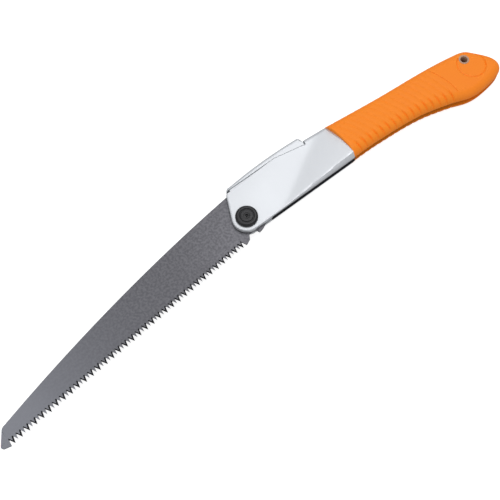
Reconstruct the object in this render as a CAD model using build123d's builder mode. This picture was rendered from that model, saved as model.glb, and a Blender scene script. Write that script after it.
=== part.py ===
"""Folding pruning saw: blade, cast channel handle, rubber grip, lever lock and clamped pivot.

Origin: pivot axis, on the outer face of the pivot nut.
+X runs along the handle to its butt, +Y to the spine, +Z along the pivot to the bolt head.
The blade is drawn open, reaching out along -X with its teeth towards -Y.
"""

from build123d import *
import math
import os

os.makedirs("parts", exist_ok=True)

# ---------------------------------------------------------------- driving dimensions, mm
# Stack along the pivot axis
BLADE_T = 1.3
WASHER_T = 0.5
RUNNING_GAP = 0.05
EAR_T = 3.5
HEAD_T = 2.8
SPRING_WASHER_T = 0.6
SLOT_HALF = BLADE_T / 2 + RUNNING_GAP + WASHER_T
EAR_HALF = SLOT_HALF + EAR_T
MID_Z = HEAD_T + EAR_HALF

# Blade, open position
FOLD_DEG = 168.5
TEETH = 70
TOOTH_DEPTH = 4.4
TOOTH_BACK = 0.62
HEEL = (-13.8, -18.1)
TOE = (-247.6, -38.0)
HEEL_ROOT = (-6.6, -12.1)
HEEL_NECK = (-9.0, -15.9)
SPINE_REAR = (1.6, 25.9)
SPINE_MID = (-119.6, 7.5)
SPINE_TIP = (-243.6, -21.6)
TANG_R = 15.8
NOTCH_FLOOR_R = 14.1

# Pivot hardware
BOLT_HEAD_R = 9.3
SHANK_R = 3.5
THREAD_R = 2.6
BUSH_R = 5.0
NUT_R = 8.2
NUT_BARREL_R = 4.4
WASHER_R = 10.5

# Cast handle
EAR_R = 12.3
FRONT_LEAN_DEG = 25.8
LIP_Y = -EAR_R
SEAT_Y = 28.1
BODY_END_X = 104.9
BODY_END_MID_Y = 5.0
BODY_END = ((BODY_END_X, LIP_Y), (105.9, BODY_END_MID_Y), (103.0, 24.0))
BODY_TOP_FRONT = (81.4, 27.2)
BODY_TOP_REAR_Y = 25.4
FLARE_START = (35.5, -8.0)
FLARE_DEG = 29.6
FLARE_SLOPE = 0.125
LIP_BEVEL_Z = 4.8
LIP_BEVEL_SLOPE = 1.4
CORE_HALF = 5.2
CORE_START_X = 99.5
CORE_END_X = 222.0

# Blade channel
CHANNEL_HALF = 2.9
CHANNEL_START_X = 17.0
CHANNEL_END_X = 259.5
ROOF_GAP = 3.6
LINER_T = 0.75
LINER_LIP_Y = -12.5
LINER_STEP_X = 106.3

# Lever lock
LEVER_PIN = (42.0, 20.5)
LEVER_PIN_R = 1.75
PIN_SKIN = 1.2
LOCK_DEG = 2.4
PAWL_T = 2.1
PAWL_W = 4.4
PAWL_CLEAR = 0.3
PAWL_DEG = 72.0
PAWL_TIP_R = 16.1
LEVER_TOP_Y = 31.9
LEVER_GAP = 0.3
SPRING_X = 66.0
SPRING_R = 1.95
SPRING_WIRE = 0.7
SPRING_BOTTOM_Y = 15.6
SPRING_TOP_Y = 28.3
SPRING_COILS = 6

# Grip and butt
GRIP_HALF = 10.2
GRIP_ROUND = 7.5
RIBS = 17
RIB_R = 1.7
RIB_DEPTH = 1.1
SEAM = ((199.5, 22.0), (213.2, -6.0), (210.6, -34.0))
BADGE_CENTRE = (241.9, -7.2)
BADGE_R = 13.2
BADGE_DEPTH = 0.6
HANG_HOLE = (240.2, 0.4)
HANG_R = 3.0
EYELET_R = 3.7
EYELET_FLANGE_R = 4.6
EYELET_FLANGE_T = 0.4

MIDDLE = Plane.XY.offset(MID_Z)


def finish(builder, name):
    """Label a finished sub-part and write its STEP file."""
    builder.part.label = name
    export_step(builder.part, f"parts/{name}.step")


def rotated(point, degrees):
    """Turn a point about the pivot axis."""
    turn = math.radians(degrees)
    x, y = point
    return (x * math.cos(turn) - y * math.sin(turn), x * math.sin(turn) + y * math.cos(turn))


def polar(radius, degrees):
    """Point at a radius and angle about the pivot axis."""
    return (radius * math.cos(math.radians(degrees)), radius * math.sin(math.radians(degrees)))


CLOSED_HEEL = rotated(HEEL, FOLD_DEG)
CLOSED_TOE = rotated(TOE, FOLD_DEG)
ROOF_SLOPE = (CLOSED_TOE[1] - CLOSED_HEEL[1]) / (CLOSED_TOE[0] - CLOSED_HEEL[0])


def roof_y(x, gap=ROOF_GAP):
    """Height of the channel's roof: the closed blade's tooth line plus a gap."""
    return CLOSED_HEEL[1] + (x - CLOSED_HEEL[0]) * ROOF_SLOPE + gap


END_ARC = ThreePointArc(*BODY_END)


def body_end(y):
    """Point at a height on the curved joint between the cast body and the grip."""
    reach = math.sqrt(END_ARC.radius**2 - (y - END_ARC.arc_center.Y) ** 2)
    return (END_ARC.arc_center.X + reach, y)


BODY_TOP_REAR = body_end(BODY_TOP_REAR_Y)

# The pawl moves square to the line from the lever pin to its tip.
PAWL_TIP = polar(PAWL_TIP_R - 0.3, PAWL_DEG)
PAWL_TRAVEL_DEG = math.degrees(
    math.atan2(PAWL_TIP[1] - LEVER_PIN[1], PAWL_TIP[0] - LEVER_PIN[0])
) + 90.0


# ---------------------------------------------------------------- saw blade
def tooth_points():
    """Tooth tips and gullets from heel to toe; each tooth's back is longer than its face."""
    run = Vector(TOE[0] - HEEL[0], TOE[1] - HEEL[1])
    pitch = run.length / TEETH
    along = run.normalized()
    inward = along.rotate(Axis.Z, -90)
    start = Vector(*HEEL)
    points = []
    for i in range(TEETH):
        tip = start + along * (pitch * i)
        gullet = start + along * (pitch * (i + TOOTH_BACK)) + inward * TOOTH_DEPTH
        points += [(tip.X, tip.Y), (gullet.X, gullet.Y)]
    return [*points, TOE]


with BuildPart() as saw_blade:
    with BuildSketch(MIDDLE):
        with BuildLine():
            teeth = Polyline(*tooth_points())
            toe = Line(TOE, (-252.6, -36.9))
            corner = ThreePointArc(toe @ 1, (-254.1, -35.9), (-254.3, -33.6))
            nose = Line(corner @ 1, (-247.9, -24.2))
            shoulder = ThreePointArc(nose @ 1, (-246.4, -22.6), SPINE_TIP)
            ThreePointArc(SPINE_TIP, SPINE_MID, SPINE_REAR)
            Polyline(SPINE_REAR, (1.0, 22.5), polar(TANG_R, 96.0), (0.0, 0.0), HEEL_ROOT)
            Polyline(HEEL_ROOT, HEEL_NECK, HEEL)
        make_face()
        Circle(TANG_R)
        with Locations(polar(TANG_R, PAWL_DEG)):
            Rectangle(PAWL_W + 2 * PAWL_CLEAR, 8, rotation=PAWL_TRAVEL_DEG + 90, mode=Mode.SUBTRACT)
        with BuildLine():
            Polyline(
                HEEL_ROOT,
                rotated((2.6, 11.6), -FOLD_DEG),
                rotated((1.9, 17.5), -FOLD_DEG),
                HEEL_NECK,
                close=True,
            )
        make_face(mode=Mode.SUBTRACT)
        Circle(NOTCH_FLOOR_R - 2.4)
        with BuildLine():
            RadiusArc(polar(NOTCH_FLOOR_R, 90), polar(NOTCH_FLOOR_R, 50), NOTCH_FLOOR_R)
            Polyline(polar(NOTCH_FLOOR_R, 50), (0, 0), polar(NOTCH_FLOOR_R, 90))
        make_face()
        Circle(BUSH_R + RUNNING_GAP, mode=Mode.SUBTRACT)
    extrude(amount=BLADE_T / 2, both=True)
finish(saw_blade, "saw_blade")


# ---------------------------------------------------------------- pivot hardware
with BuildPart() as pivot_bushing:
    with BuildSketch(MIDDLE):
        Circle(BUSH_R)
        Circle(SHANK_R + RUNNING_GAP, mode=Mode.SUBTRACT)
    extrude(amount=SLOT_HALF, both=True)
finish(pivot_bushing, "pivot_bushing")

for washer_name, washer_z in (
    ("near_washer", MID_Z + SLOT_HALF - WASHER_T),
    ("far_washer", MID_Z - SLOT_HALF),
):
    with BuildPart() as washer:
        with BuildSketch(Plane.XY.offset(washer_z)):
            Circle(WASHER_R)
            Circle(BUSH_R + RUNNING_GAP, mode=Mode.SUBTRACT)
        extrude(amount=WASHER_T)
    finish(washer, washer_name)

with BuildPart() as spring_washer:
    with BuildSketch(Plane.XY.offset(HEAD_T - SPRING_WASHER_T)):
        Circle(NUT_R + 0.6)
        Circle(NUT_BARREL_R + 0.1, mode=Mode.SUBTRACT)
    extrude(amount=SPRING_WASHER_T)
finish(spring_washer, "spring_washer")

NUT_FLANGE_T = HEAD_T - SPRING_WASHER_T
NUT_BARREL_TOP = HEAD_T + EAR_T - 0.4
with BuildPart() as pivot_nut:
    with BuildSketch(Plane.XY):
        Circle(NUT_R)
    extrude(amount=NUT_FLANGE_T)
    chamfer(pivot_nut.edges().sort_by(Axis.Z)[0], 0.6)
    with BuildSketch(Plane.XY.offset(NUT_FLANGE_T)):
        Circle(NUT_BARREL_R)
    extrude(amount=NUT_BARREL_TOP - NUT_FLANGE_T)
    with BuildSketch(Plane.XY.offset(1.0)):
        Circle(THREAD_R + 0.05)
    extrude(amount=NUT_BARREL_TOP, mode=Mode.SUBTRACT)
    with BuildSketch(Plane.XY):
        with PolarLocations(5.6, 2):
            Circle(1.1)
    extrude(amount=1.2, mode=Mode.SUBTRACT)
finish(pivot_nut, "pivot_nut")

HEAD_Z = MID_Z + EAR_HALF
with BuildPart() as pivot_bolt:
    with BuildSketch(Plane.XY.offset(HEAD_Z)):
        Circle(BOLT_HEAD_R)
    extrude(amount=HEAD_T)
    chamfer(pivot_bolt.edges().sort_by(Axis.Z)[-1], 0.7)
    with BuildSketch(Plane.XY.offset(HEAD_Z + HEAD_T)):
        Circle(6.4)
        Circle(5.3, mode=Mode.SUBTRACT)
    extrude(amount=-0.6, mode=Mode.SUBTRACT)
    with BuildSketch(Plane.XY.offset(HEAD_Z + HEAD_T)):
        RegularPolygon(1.7, 6)
    extrude(amount=-1.6, mode=Mode.SUBTRACT)
    with BuildSketch(Plane.XY.offset(HEAD_Z)):
        Circle(SHANK_R)
    extrude(amount=NUT_BARREL_TOP + 0.3 - HEAD_Z)
    with BuildSketch(Plane.XY.offset(NUT_BARREL_TOP + 0.3)):
        Circle(THREAD_R)
    extrude(amount=1.6 - NUT_BARREL_TOP)
finish(pivot_bolt, "pivot_bolt")


# ---------------------------------------------------------------- cast handle
def polygon(points, plane=MIDDLE):
    """Closed straight-sided face on a plane."""
    with BuildSketch(plane) as face:
        with BuildLine():
            Polyline(*points, close=True)
        make_face()
    return face.sketch


def channel_face(half_gap, start_x, end_x, floor_y):
    """Side view of the blade channel under the roof line, open downwards."""
    return polygon(
        [
            (start_x, floor_y),
            (start_x, roof_y(start_x, half_gap)),
            (end_x, roof_y(end_x, half_gap)),
            (end_x, floor_y),
        ]
    )


LEAN = math.radians(FRONT_LEAN_DEG)
FRONT_TANGENT = (-EAR_R * math.cos(LEAN), EAR_R * math.sin(LEAN))
FRONT_SEAT_Y = 26.2
FRONT_RUN = (FRONT_SEAT_Y - FRONT_TANGENT[1]) * math.tan(LEAN)
FRONT_TOP = (FRONT_TANGENT[0] + FRONT_RUN, FRONT_SEAT_Y)
FLARE_TURN = math.radians(FLARE_DEG)
FLARE_PLANE = Plane(
    origin=(*FLARE_START, MID_Z),
    x_dir=(math.sin(FLARE_TURN), -math.cos(FLARE_TURN), 0),
    z_dir=(math.cos(FLARE_TURN), math.sin(FLARE_TURN), 0),
)
FLARE_RUN = 90.0
FLARE_TOP = EAR_HALF + FLARE_RUN * FLARE_SLOPE
CORE_TOP = ((CORE_START_X, 20.0), (CORE_END_X, 8.5))
CORE_BOTTOM = ((CORE_END_X, -21.5), (200.0, -16.5), (165.0, -9.5), (CORE_START_X, -7.5))

with BuildPart() as cheek_blank:
    with BuildSketch(MIDDLE):
        Rectangle(260, 120)
    extrude(amount=EAR_HALF, both=True)
    with BuildSketch(FLARE_PLANE):
        with BuildLine():
            Polyline(
                (0, EAR_HALF),
                (FLARE_RUN, FLARE_TOP),
                (FLARE_RUN, -FLARE_TOP),
                (0, -EAR_HALF),
                close=True,
            )
        make_face()
    extrude(amount=90, both=True)

TOP_PLANE = Plane(
    origin=(*BODY_TOP_FRONT, MID_Z),
    x_dir=(0, 0, 1),
    z_dir=(BODY_TOP_REAR[0] - BODY_TOP_FRONT[0], BODY_TOP_REAR[1] - BODY_TOP_FRONT[1], 0),
)
LIP_HIGH_Y = LIP_Y + (FLARE_TOP - LIP_BEVEL_Z) / LIP_BEVEL_SLOPE

with BuildPart() as handle_frame:
    with BuildSketch(MIDDLE):
        with BuildLine():
            Line((0, LIP_Y), body_end(LIP_Y))
            ThreePointArc(body_end(LIP_Y), body_end(BODY_END_MID_Y), BODY_TOP_REAR)
            Polyline(
                BODY_TOP_REAR,
                BODY_TOP_FRONT,
                (80.2, 22.4),
                (51.0, SEAT_Y),
                (44.0, SEAT_Y),
                FRONT_TOP,
                FRONT_TANGENT,
            )
            ThreePointArc(FRONT_TANGENT, polar(EAR_R, 212), (0, LIP_Y))
        make_face()
    extrude(amount=20, both=True)
    add(cheek_blank.part, mode=Mode.INTERSECT)
    for side in (1, -1):
        with BuildSketch(Plane.YZ):
            with BuildLine():
                Polyline(
                    (LIP_Y - 1, MID_Z + side * (LIP_BEVEL_Z - LIP_BEVEL_SLOPE)),
                    (LIP_HIGH_Y, MID_Z + side * FLARE_TOP),
                    (LIP_Y - 1, MID_Z + side * FLARE_TOP),
                    close=True,
                )
            make_face()
        extrude(amount=BODY_END_X + 2, mode=Mode.SUBTRACT)
    for side in (1, -1):
        with BuildSketch(TOP_PLANE):
            with BuildLine():
                crown = ThreePointArc((1.8 * side, 0), (4.2 * side, 0.9), (5.5 * side, 3.4))
                Polyline(crown @ 1, (8 * side, 3.4), (8 * side, -1), (1.8 * side, -1), crown @ 0)
            make_face()
        extrude(amount=BODY_TOP_REAR[0] - BODY_TOP_FRONT[0] + 1, mode=Mode.SUBTRACT)
    with BuildSketch(MIDDLE):
        with BuildLine():
            Polyline(*CORE_TOP, *CORE_BOTTOM, close=True)
        make_face()
    extrude(amount=CORE_HALF, both=True)
    with BuildSketch(MIDDLE):
        add(channel_face(ROOF_GAP, CHANNEL_START_X, CORE_END_X + 1, -40))
    extrude(amount=CHANNEL_HALF, both=True, mode=Mode.SUBTRACT)
    with BuildSketch(MIDDLE):
        add(
            polygon(
                [
                    (-30, -30),
                    (CHANNEL_START_X + 0.5, -30),
                    (CHANNEL_START_X + 0.5, roof_y(CHANNEL_START_X)),
                    (54.5, roof_y(54.5) - 0.5),
                    (54.5, 40),
                    (-30, 40),
                ]
            )
        )
    extrude(amount=SLOT_HALF, both=True, mode=Mode.SUBTRACT)
    with BuildSketch(Plane.XY.offset(MID_Z)):
        Circle(SHANK_R + RUNNING_GAP)
    extrude(amount=20, mode=Mode.SUBTRACT)
    with BuildSketch(Plane.XY.offset(MID_Z)):
        Circle(NUT_BARREL_R + 0.05)
    extrude(amount=-20, mode=Mode.SUBTRACT)
    with BuildSketch(Plane.XY.offset(MID_Z + EAR_HALF - PIN_SKIN)):
        with Locations(LEVER_PIN):
            Circle(LEVER_PIN_R + RUNNING_GAP)
    extrude(amount=-20, mode=Mode.SUBTRACT)
    with BuildSketch(Plane.XZ.offset(-40)):
        with Locations((SPRING_X, MID_Z)):
            Circle(SPRING_R + SPRING_WIRE)
    extrude(amount=40 - SPRING_BOTTOM_Y, mode=Mode.SUBTRACT)
finish(handle_frame, "handle_frame")

LINER_HALF = CHANNEL_HALF - LINER_T
LINER_BOTTOM = (
    (CORE_END_X, -25.8),
    (209.7, -22.2),
    (197.9, -18.5),
    (183.5, -14.7),
    (164.0, -11.7),
    (142.0, -10.0),
    (122.0, -9.4),
    (LINER_STEP_X, -9.6),
    (LINER_STEP_X, LINER_LIP_Y),
    (CHANNEL_START_X, LINER_LIP_Y),
)
with BuildPart() as channel_liner:
    with BuildSketch(MIDDLE):
        add(
            polygon(
                [
                    (CHANNEL_START_X, roof_y(CHANNEL_START_X)),
                    (CORE_END_X, roof_y(CORE_END_X)),
                    *LINER_BOTTOM,
                ]
            )
        )
    extrude(amount=CHANNEL_HALF, both=True)
    with BuildSketch(MIDDLE):
        add(channel_face(ROOF_GAP - LINER_T, CHANNEL_START_X - 1, CORE_END_X + 1, -40))
    extrude(amount=LINER_HALF, both=True, mode=Mode.SUBTRACT)
finish(channel_liner, "channel_liner")


# ---------------------------------------------------------------- lever lock
LEVER_FLOOR_Y = SEAT_Y + LEVER_GAP
PAWL_TOP_Y = 29.6
with BuildPart() as lock_lever:
    with BuildSketch(MIDDLE):
        with BuildLine():
            crest = ThreePointArc((5.5, 30.6), (40.0, LEVER_TOP_Y + 0.8), (76.5, LEVER_TOP_Y))
            heel = ThreePointArc(crest @ 1, (79.2, 30.9), (79.8, 28.6))
            under = Polyline(heel @ 1, (79.3, 22.9), (51.0, LEVER_FLOOR_Y), (1.1, LEVER_FLOOR_Y))
            ThreePointArc(under @ 1, (2.0, 29.8), crest @ 0)
        make_face()
    extrude(amount=EAR_HALF - 0.1, both=True)
    for side in (1, -1):
        with BuildSketch(Plane.YZ):
            with BuildLine():
                crown = ThreePointArc(
                    (33.2, MID_Z + 2.2 * side),
                    (32.2, MID_Z + 4.0 * side),
                    (30.2, MID_Z + EAR_HALF * side),
                )
                outside_z = MID_Z + (EAR_HALF + 1) * side
                Polyline(crown @ 1, (30.2, outside_z), (35.0, outside_z), (35.0, MID_Z + 2.2 * side))
                Line((35.0, MID_Z + 2.2 * side), crown @ 0)
            make_face()
        extrude(amount=90, mode=Mode.SUBTRACT)
    with BuildSketch(MIDDLE):
        with Locations((28.0, PAWL_TOP_Y - 2.5)):
            Rectangle(50, 5)
    extrude(amount=PAWL_T / 2, both=True, mode=Mode.SUBTRACT)
    with BuildSketch(Plane.XZ.offset(-SPRING_TOP_Y)):
        with Locations((SPRING_X, MID_Z)):
            Circle(SPRING_R + SPRING_WIRE)
    extrude(amount=20, mode=Mode.SUBTRACT)
finish(lock_lever, "lock_lever")

PAWL_ALONG = Vector(1, 0, 0).rotate(Axis.Z, PAWL_TRAVEL_DEG)
PAWL_ACROSS = PAWL_ALONG.rotate(Axis.Z, 90)
PAWL_FRONT = Vector(*PAWL_TIP) - PAWL_ACROSS * (PAWL_W / 2)
PAWL_REAR = Vector(*PAWL_TIP) + PAWL_ACROSS * (PAWL_W / 2)
with BuildPart() as lock_pawl:
    with BuildSketch(MIDDLE):
        with BuildLine():
            Polyline(
                (4.0, PAWL_TOP_Y),
                (53.0, PAWL_TOP_Y),
                (53.0, 21.0),
                (LEVER_PIN[0] + 4.5, LEVER_PIN[1] - 3.0),
                (LEVER_PIN[0] - 4.5, LEVER_PIN[1] - 3.0),
                (31.0, 21.8),
                (12.0, 22.4),
                (PAWL_REAR.X - 0.5, PAWL_REAR.Y + 4.0),
                (PAWL_REAR.X, PAWL_REAR.Y - 3.0),
                (PAWL_FRONT.X, PAWL_FRONT.Y - 3.0),
                (PAWL_FRONT.X - 0.5, PAWL_FRONT.Y + 5.0),
                close=True,
            )
        make_face()
        Circle(PAWL_TIP_R, mode=Mode.SUBTRACT)
        with Locations(LEVER_PIN):
            Circle(LEVER_PIN_R + RUNNING_GAP, mode=Mode.SUBTRACT)
    extrude(amount=PAWL_T / 2, both=True)
finish(lock_pawl, "lock_pawl")

PIN_BOTTOM_Z = MID_Z - EAR_HALF
PIN_TOP_Z = MID_Z + EAR_HALF - PIN_SKIN - 0.1
with BuildPart() as lever_pin:
    with BuildSketch(Plane.XY.offset(PIN_BOTTOM_Z)):
        with Locations(LEVER_PIN):
            Circle(LEVER_PIN_R)
    extrude(amount=PIN_TOP_Z - PIN_BOTTOM_Z)
    chamfer(lever_pin.edges().filter_by(GeomType.CIRCLE), 0.25)
finish(lever_pin, "lever_pin")

SPRING_LENGTH = SPRING_TOP_Y - SPRING_BOTTOM_Y - SPRING_WIRE - 0.1
with BuildPart() as lever_spring:
    with BuildLine():
        coil = Helix(
            pitch=SPRING_LENGTH / SPRING_COILS,
            height=SPRING_LENGTH,
            radius=SPRING_R,
            center=(SPRING_X, SPRING_BOTTOM_Y + SPRING_WIRE / 2 + 0.05, MID_Z),
            direction=(0, 1, 0),
        )
    with BuildSketch(Plane(origin=coil @ 0, z_dir=coil % 0)):
        Circle(SPRING_WIRE / 2)
    sweep()
finish(lever_spring, "lever_spring")


# ---------------------------------------------------------------- grip and butt
SLOT_FLOOR_Y = -45.0
BACK_LINE = [body_end(24.8), (131.0, 21.8), (163.0, 18.7), (196.0, 16.3), (218.0, 14.1)]
BUTT_LINE = [
    (237.6, 11.2),
    (248.9, 7.5),
    (253.6, 2.4),
    (259.1, -4.6),
    (263.3, -11.8),
    (264.4, -17.2),
    (262.6, -22.9),
    (256.6, -26.8),
    (244.0, -29.4),
]
BELLY_LINE = [
    (231.0, -30.3),
    (219.6, -28.8),
    (209.5, -25.1),
    (197.7, -21.4),
    (183.3, -17.6),
    (164.0, -14.5),
    (142.0, -12.8),
    (122.0, -11.9),
    body_end(-11.9),
]


def belly_y(x):
    """Height of the grip's belly, read between the points of its outline."""
    for (x1, y1), (x0, y0) in zip(BELLY_LINE, BELLY_LINE[1:]):
        if x0 <= x <= x1:
            return y0 + (y1 - y0) * (x - x0) / (x1 - x0)
    raise ValueError(f"no belly at x = {x}")


def handle_outline():
    """Side view of the grip and butt together."""
    with BuildSketch(MIDDLE) as face:
        with BuildLine():
            back = Spline(*BACK_LINE, *BUTT_LINE, *BELLY_LINE)
            ThreePointArc(back @ 1, body_end(BODY_END_MID_Y), back @ 0)
        make_face()
    return face.sketch


def seam_face():
    """Region behind the seam between the grip and the butt."""
    with BuildSketch(MIDDLE) as face:
        with BuildLine():
            ThreePointArc(*SEAM)
            Polyline(SEAM[2], (211.0, -60.0), (300.0, -60.0), (300.0, 60.0), (199.0, 60.0), SEAM[0])
        make_face()
    return face.sketch


with BuildPart() as handle_skin:
    with BuildSketch(MIDDLE):
        add(handle_outline())
    extrude(amount=GRIP_HALF, both=True)
    rims = handle_skin.edges().filter_by(lambda e: e.length > 200)
    fillet(rims, GRIP_ROUND)
    with BuildSketch(MIDDLE):
        add(channel_face(ROOF_GAP, BODY_TOP_REAR[0] - 1, CHANNEL_END_X, SLOT_FLOOR_Y))
    extrude(amount=CHANNEL_HALF, both=True, mode=Mode.SUBTRACT)
    with BuildSketch(MIDDLE):
        with BuildLine():
            Polyline(*CORE_TOP, *CORE_BOTTOM, close=True)
        make_face()
    extrude(amount=CORE_HALF, both=True, mode=Mode.SUBTRACT)

with BuildPart() as grip_sleeve:
    add(handle_skin.part)
    with BuildSketch(MIDDLE):
        add(seam_face())
    extrude(amount=30, both=True, mode=Mode.SUBTRACT)
    rib_pitch = (SEAM[1][0] - 1.5 - BODY_END_X) / RIBS
    rib_x = [BODY_END_X + rib_pitch * i for i in range(1, RIBS)]
    with BuildSketch(MIDDLE):
        with Locations(*[(x, belly_y(x) - RIB_R + RIB_DEPTH) for x in rib_x]):
            Circle(RIB_R)
    extrude(amount=GRIP_HALF, both=True, mode=Mode.SUBTRACT)
finish(grip_sleeve, "grip_sleeve")

with BuildPart() as butt_cap:
    with BuildSketch(MIDDLE):
        add(seam_face())
    extrude(amount=30, both=True)
    add(handle_skin.part, mode=Mode.INTERSECT)
    for face_z, depth in ((MID_Z + GRIP_HALF, -BADGE_DEPTH), (MID_Z - GRIP_HALF, BADGE_DEPTH)):
        with BuildSketch(Plane.XY.offset(face_z)):
            with Locations(BADGE_CENTRE):
                Circle(BADGE_R)
        extrude(amount=depth, mode=Mode.SUBTRACT)
    with BuildSketch(MIDDLE):
        with Locations(HANG_HOLE):
            Circle(EYELET_R)
    extrude(amount=30, both=True, mode=Mode.SUBTRACT)
finish(butt_cap, "butt_cap")

EYELET_HALF = GRIP_HALF - BADGE_DEPTH + EYELET_FLANGE_T
with BuildPart() as hang_eyelet:
    with BuildSketch(MIDDLE):
        with Locations(HANG_HOLE):
            Circle(EYELET_R)
    extrude(amount=EYELET_HALF, both=True)
    for flange_z in (MID_Z + EYELET_HALF - EYELET_FLANGE_T, MID_Z - EYELET_HALF):
        with BuildSketch(Plane.XY.offset(flange_z)):
            with Locations(HANG_HOLE):
                Circle(EYELET_FLANGE_R)
        extrude(amount=EYELET_FLANGE_T)
    with BuildSketch(MIDDLE):
        with Locations(HANG_HOLE):
            Circle(HANG_R)
    extrude(amount=30, both=True, mode=Mode.SUBTRACT)
finish(hang_eyelet, "hang_eyelet")
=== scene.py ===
"""Looks of a folding pruning saw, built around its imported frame.

The frame's axes: +X runs along the handle to the butt, +Y to the spine, +Z along the pivot to the bolt
head. Lengths are millimetres here and turn into metres when a mesh is made.
"""

from __future__ import annotations

import logging
import math
from collections.abc import Callable, Sequence
from dataclasses import dataclass, field
from enum import Enum

import bmesh
import bpy
import numpy as np
from mathutils import Matrix, Vector
from mathutils.geometry import delaunay_2d_cdt


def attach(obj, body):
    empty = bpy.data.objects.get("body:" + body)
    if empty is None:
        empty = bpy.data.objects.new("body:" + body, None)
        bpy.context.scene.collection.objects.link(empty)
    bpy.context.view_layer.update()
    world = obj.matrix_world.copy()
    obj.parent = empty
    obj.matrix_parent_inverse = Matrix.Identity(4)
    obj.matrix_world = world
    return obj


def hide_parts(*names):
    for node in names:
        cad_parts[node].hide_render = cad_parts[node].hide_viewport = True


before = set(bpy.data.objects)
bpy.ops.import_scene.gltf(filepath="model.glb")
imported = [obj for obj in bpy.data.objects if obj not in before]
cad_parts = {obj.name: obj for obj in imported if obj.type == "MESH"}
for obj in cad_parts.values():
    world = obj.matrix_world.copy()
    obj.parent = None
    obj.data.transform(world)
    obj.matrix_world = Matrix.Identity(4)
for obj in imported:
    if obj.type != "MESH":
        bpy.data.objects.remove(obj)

LOG = logging.getLogger("pruning_saw")
MM = 0.001
MID_Z = 7.5
SHARP_DEG = 38.0

Array = np.ndarray
Colour = tuple[float, float, float]
Point2 = tuple[float, float]


class Body(Enum):
    """Bodies that pieces ride on."""

    HANDLE = "handle"
    BLADE = "blade"
    LEVER = "lever"


class Side(Enum):
    """Face of the saw: NEAR carries the bolt head, FAR the nut."""

    NEAR = 1
    FAR = -1


class Slot(Enum):
    """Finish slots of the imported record."""

    BLADE = "blade_steel"
    BUSH = "bush_steel"
    BRONZE = "washer_bronze"
    SPRING = "spring_steel"
    BLACK = "black_steel"
    ALLOY = "cast_alloy"
    LINER = "liner_plastic"
    PAWL = "pawl_steel"
    PIN = "pin_steel"
    GRIP = "grip_rubber"
    EYELET = "eyelet_plastic"


# ---------------------------------------------------------------- plane geometry
def arc_through(first: Point2, middle: Point2, last: Point2, step: float = 0.6) -> Array:
    """Sample the circular arc through three points.

    Args:
        first: Start of the arc.
        middle: Any point between the ends.
        last: End of the arc.
        step: Longest chord, mm.

    Returns:
        Points from first to last, both included.
    """
    a, b, c = (np.array(p, float) for p in (first, middle, last))
    lhs = 2 * np.array([b - a, c - a])
    rhs = np.array([b @ b - a @ a, c @ c - a @ a])
    centre = np.linalg.solve(lhs, rhs)
    radius = float(np.linalg.norm(a - centre))
    start, via, stop = (math.atan2(*(p - centre)[::-1]) for p in (a, b, c))
    turn = (stop - start) % math.tau
    if (via - start) % math.tau > turn:
        turn -= math.tau
    count = max(2, math.ceil(abs(turn) * radius / step))
    angles = start + np.linspace(0, turn, count + 1)
    return centre + radius * np.column_stack([np.cos(angles), np.sin(angles)])


def circle(centre: Point2, radius: float, count: int = 64) -> Array:
    """Sample a full circle, without repeating its first point.

    Args:
        centre: Centre of the circle.
        radius: Radius, mm.
        count: Number of points.

    Returns:
        The circle's points, counter-clockwise.
    """
    angles = np.linspace(0, math.tau, count, endpoint=False)
    return np.array(centre) + radius * np.column_stack([np.cos(angles), np.sin(angles)])


def polar(radius: float, degrees: float) -> Point2:
    """Point at a radius and an angle about the pivot axis."""
    return (radius * math.cos(math.radians(degrees)), radius * math.sin(math.radians(degrees)))


def rotated(point: Point2, degrees: float) -> Point2:
    """Turn a point about the pivot axis."""
    c, s = math.cos(math.radians(degrees)), math.sin(math.radians(degrees))
    return (point[0] * c - point[1] * s, point[0] * s + point[1] * c)


def smooth_curve(points: Sequence[Point2], step: float = 0.6) -> Array:
    """Run a natural cubic spline through points.

    Args:
        points: Points that the curve passes through.
        step: Distance between samples, mm.

    Returns:
        Samples along the curve, with every given point among them.
    """
    p = np.array(points, float)
    knots = np.r_[0, np.cumsum(np.linalg.norm(np.diff(p, axis=0), axis=1))]
    gaps = np.diff(knots)
    count = len(p)
    system = np.eye(count)
    rhs = np.zeros((count, 2))
    for i in range(1, count - 1):
        system[i, i - 1 : i + 2] = gaps[i - 1], 2 * (gaps[i - 1] + gaps[i]), gaps[i]
        rhs[i] = 6 * ((p[i + 1] - p[i]) / gaps[i] - (p[i] - p[i - 1]) / gaps[i - 1])
    bend = np.linalg.solve(system, rhs)
    rows = []
    for i, gap in enumerate(gaps):
        ahead = np.linspace(0, gap, max(2, math.ceil(gap / step)), endpoint=False)[:, None]
        back = gap - ahead
        rows.append(
            (bend[i] * back**3 + bend[i + 1] * ahead**3) / (6 * gap)
            + (p[i] / gap - bend[i] * gap / 6) * back
            + (p[i + 1] / gap - bend[i + 1] * gap / 6) * ahead
        )
    return np.vstack([*rows, p[-1:]])


def dense(line: Array, step: float, closed: bool = False) -> Array:
    """Split the long runs of a polyline.

    Args:
        line: Points of the polyline.
        step: Longest run to leave, mm.
        closed: Whether the last point joins the first.

    Returns:
        The polyline with extra points on its long runs.
    """
    ends = np.vstack([line, line[:1]]) if closed else line
    rows = []
    for a, b in zip(ends[:-1], ends[1:]):
        count = max(1, math.ceil(float(np.linalg.norm(b - a)) / step))
        rows.append(a + (b - a) * np.linspace(0, 1, count, endpoint=False)[:, None])
    return np.vstack(rows if closed else [*rows, line[-1:]])


def joined(*runs: Array) -> Array:
    """Chain runs into one closed loop, dropping each repeated point."""
    points = [np.asarray(run, float) for run in runs]
    loop = np.vstack(points)
    keep = np.linalg.norm(loop - np.roll(loop, 1, axis=0), axis=1) > 1e-4
    return loop[keep]


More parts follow.
